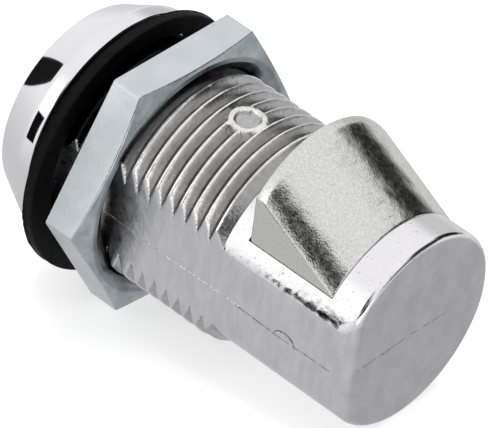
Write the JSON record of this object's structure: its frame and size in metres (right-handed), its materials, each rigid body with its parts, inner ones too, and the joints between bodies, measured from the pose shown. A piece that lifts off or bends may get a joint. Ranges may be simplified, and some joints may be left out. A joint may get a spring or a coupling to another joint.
{
  "type": "threaded slam-latch cylinder lock",
  "caption": "Chromed cylinder lock with a threaded double-D barrel, rubber gasket, hex nut and a sloped spring latch bolt that the key draws in.",
  "frame": {"origin": "on the barrel axis, in the plane where the gasket meets the panel", "axes": "+Y along the barrel from the head to the closed rear end, +Z towards the side the latch bolt stands out of, +X towards one of the two side flats"},
  "size_m": [0.0296, 0.0422, 0.0295],
  "materials": {
    "barrel_chrome": "bright chrome plate over a zinc die casting, satin on the thread and flats",
    "gasket_rubber": "matte black rubber",
    "nut_zinc": "blue-white zinc plate",
    "bolt_cast": "satin, grainy cast surface",
    "spring_steel": "drawn spring wire",
    "plug_zinc": "plated die casting",
    "cap_stainless": "fine brushed stainless",
    "wafer_brass": "stamped brass",
    "pin_steel": "ground steel"
  },
  "bodies": {
    "housing": {"housing": "barrel_chrome", "gasket": "gasket_rubber", "hex_nut": "nut_zinc", "bolt_spring": "spring_steel"},
    "bolt": {"bolt": "bolt_cast"},
    "plug": {"plug": "plug_zinc", "plug_face_cap": "cap_stainless", "wafer_springs": "spring_steel", "retaining_wafer": "wafer_brass", "retainer_spring": "spring_steel", "drive_pin": "pin_steel", "shutter_pin": "pin_steel", "shutter_spring": "spring_steel"},
    "dust_shutter": {"dust_shutter": "cap_stainless"},
    "wafer_1": {"wafer_1": "wafer_brass"},
    "wafer_2": {"wafer_2": "wafer_brass"},
    "wafer_3": {"wafer_3": "wafer_brass"},
    "wafer_4": {"wafer_4": "wafer_brass"},
    "wafer_5": {"wafer_5": "wafer_brass"},
    "wafer_6": {"wafer_6": "wafer_brass"},
    "wafer_7": {"wafer_7": "wafer_brass"}
  },
  "joints": [
    {"name": "plug_turn", "type": "hinge", "parent": "housing", "child": "plug", "pos_m": [0, 0, 0], "axis": [0, 1, 0], "range_deg": [0, 90]},
    {"name": "bolt_slide", "type": "slide", "parent": "housing", "child": "bolt", "axis": [0, 0, -1], "range_m": [0, 0.0051], "stiffness_N_per_m": 800, "springref_m": -0.004, "deforming": ["bolt_spring"]},
    {"name": "shutter_swing", "type": "hinge", "parent": "plug", "child": "dust_shutter", "pos_m": [-0.00195, -0.0061, 0], "axis": [0, 0, 1], "range_deg": [0, 88], "stiffness_Nm_per_rad": 0.0004, "springref_deg": -28.65},
    {"name": "wafer_1_slide", "type": "slide", "parent": "plug", "child": "wafer_1", "axis": [0, 0, -1], "range_m": [-0.0008, 0], "stiffness_N_per_m": 60},
    {"name": "wafer_2_slide", "type": "slide", "parent": "plug", "child": "wafer_2", "axis": [0, 0, 1], "range_m": [-0.0008, 0], "stiffness_N_per_m": 60},
    {"name": "wafer_3_slide", "type": "slide", "parent": "plug", "child": "wafer_3", "axis": [0, 0, -1], "range_m": [-0.0008, 0], "stiffness_N_per_m": 60},
    {"name": "wafer_4_slide", "type": "slide", "parent": "plug", "child": "wafer_4", "axis": [0, 0, 1], "range_m": [-0.0008, 0], "stiffness_N_per_m": 60},
    {"name": "wafer_5_slide", "type": "slide", "parent": "plug", "child": "wafer_5", "axis": [0, 0, -1], "range_m": [-0.0008, 0], "stiffness_N_per_m": 60},
    {"name": "wafer_6_slide", "type": "slide", "parent": "plug", "child": "wafer_6", "axis": [0, 0, 1], "range_m": [-0.0008, 0], "stiffness_N_per_m": 60},
    {"name": "wafer_7_slide", "type": "slide", "parent": "plug", "child": "wafer_7", "axis": [0, 0, -1], "range_m": [-0.0008, 0], "stiffness_N_per_m": 60}
  ],
  "couplings": [
    {"joint": "plug_turn", "follows": "bolt_slide", "rad_per_m": 307.9}
  ]
}
